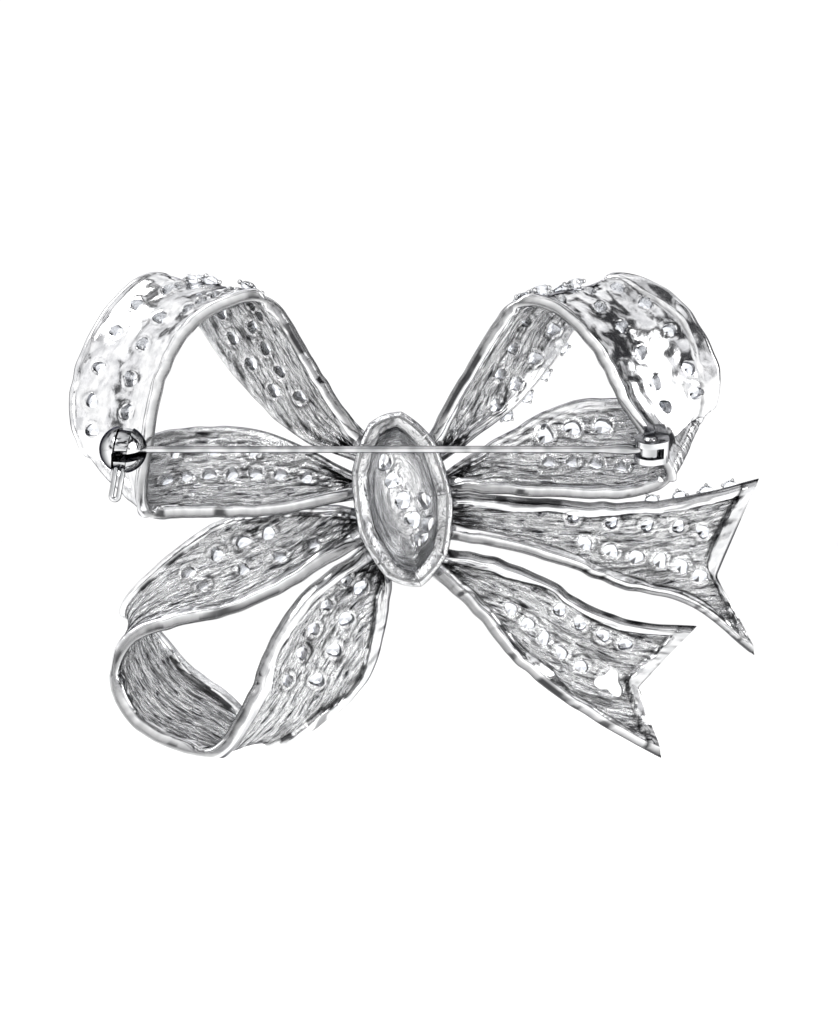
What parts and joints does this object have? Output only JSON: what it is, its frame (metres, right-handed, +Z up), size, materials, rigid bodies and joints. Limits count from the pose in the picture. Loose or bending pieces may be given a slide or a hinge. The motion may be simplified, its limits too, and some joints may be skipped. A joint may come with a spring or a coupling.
{
  "type": "ribbon bow brooch",
  "caption": "Openwork ribbon-bow brooch: three cast loops and two swallowtail ends round a hollow knot, set with crystals, with a hinged pin stem and a ball safety catch.",
  "frame": {"origin": "middle of the closed pin stem, on its axis", "axes": "+X along the pin stem towards the catch, +Y away from the crystals towards the wearer, +Z up as worn"},
  "size_m": [0.0695, 0.0157, 0.0493],
  "materials": {
    "catch_housing": "bright rhodium-tone plating",
    "catch_rotor": "bright rhodium-tone plating",
    "crystal": "clear faceted crystal, foil backed",
    "hinge_rivet": "bright rhodium-tone plating",
    "hinge_yoke": "bright rhodium-tone plating",
    "knot": "cast alloy, rhodium-tone plating, polished rims and a grained back",
    "loop_lower_catch_side": "cast alloy, rhodium-tone plating, polished rims and a grained back",
    "loop_upper_catch_side": "cast alloy, rhodium-tone plating, polished rims and a grained back",
    "loop_upper_hinge_side": "cast alloy, rhodium-tone plating, polished rims and a grained back",
    "pin_stem": "drawn wire, bright plated",
    "tail_lower": "cast alloy, rhodium-tone plating, polished rims and a grained back",
    "tail_upper": "cast alloy, rhodium-tone plating, polished rims and a grained back"
  },
  "bodies": {
    "bow": {"catch_housing": "catch_housing", "crystal_knot_1": "crystal", "crystal_knot_2": "crystal", "crystal_knot_3": "crystal", "crystal_knot_4": "crystal", "crystal_knot_5": "crystal", "crystal_knot_6": "crystal", "crystal_knot_7": "crystal", "crystal_loop_lower_catch_side_1": "crystal", "crystal_loop_lower_catch_side_2": "crystal", "crystal_loop_lower_catch_side_3": "crystal", "crystal_loop_lower_catch_side_4": "crystal", "crystal_loop_lower_catch_side_5": "crystal", "crystal_loop_lower_catch_side_6": "crystal", "crystal_loop_lower_catch_side_7": "crystal", "crystal_loop_lower_catch_side_8": "crystal", "crystal_loop_lower_catch_side_9": "crystal", "crystal_loop_upper_catch_side_1": "crystal", "crystal_loop_upper_catch_side_10": "crystal", "crystal_loop_upper_catch_side_11": "crystal", "crystal_loop_upper_catch_side_12": "crystal", "crystal_loop_upper_catch_side_2": "crystal", "crystal_loop_upper_catch_side_3": "crystal", "crystal_loop_upper_catch_side_4": "crystal", "crystal_loop_upper_catch_side_5": "crystal", "crystal_loop_upper_catch_side_6": "crystal", "crystal_loop_upper_catch_side_7": "crystal", "crystal_loop_upper_catch_side_8": "crystal", "crystal_loop_upper_catch_side_9": "crystal", "crystal_loop_upper_hinge_side_1": "crystal", "crystal_loop_upper_hinge_side_10": "crystal", "crystal_loop_upper_hinge_side_11": "crystal", "crystal_loop_upper_hinge_side_12": "crystal", "crystal_loop_upper_hinge_side_2": "crystal", "crystal_loop_upper_hinge_side_3": "crystal", "crystal_loop_upper_hinge_side_4": "crystal", "crystal_loop_upper_hinge_side_5": "crystal", "crystal_loop_upper_hinge_side_6": "crystal", "crystal_loop_upper_hinge_side_7": "crystal", "crystal_loop_upper_hinge_side_8": "crystal", "crystal_loop_upper_hinge_side_9": "crystal", "crystal_tail_lower_1": "crystal", "crystal_tail_lower_2": "crystal", "crystal_tail_lower_3": "crystal", "crystal_tail_lower_4": "crystal", "crystal_tail_upper_1": "crystal", "crystal_tail_upper_2": "crystal", "crystal_tail_upper_3": "crystal", "crystal_tail_upper_4": "crystal", "crystal_tail_upper_5": "crystal", "hinge_rivet": "hinge_rivet", "hinge_yoke": "hinge_yoke", "knot": "knot", "loop_lower_catch_side": "loop_lower_catch_side", "loop_upper_catch_side": "loop_upper_catch_side", "loop_upper_hinge_side": "loop_upper_hinge_side", "tail_lower": "tail_lower", "tail_upper": "tail_upper"},
    "pin": {"pin_stem": "pin_stem"},
    "rotor": {"catch_rotor": "catch_rotor"}
  },
  "joints": [
    {"name": "pin_hinge", "type": "hinge", "parent": "bow", "child": "pin", "pos_m": [-0.0263, 0, 0], "axis": [0, 0.4226, 0.9063], "range_deg": [0, 100]},
    {"name": "catch_turn", "type": "hinge", "parent": "bow", "child": "rotor", "pos_m": [0.0254, 0, 0], "axis": [0.9848, 0, 0.1736], "range_deg": [0, 150]}
  ]
}
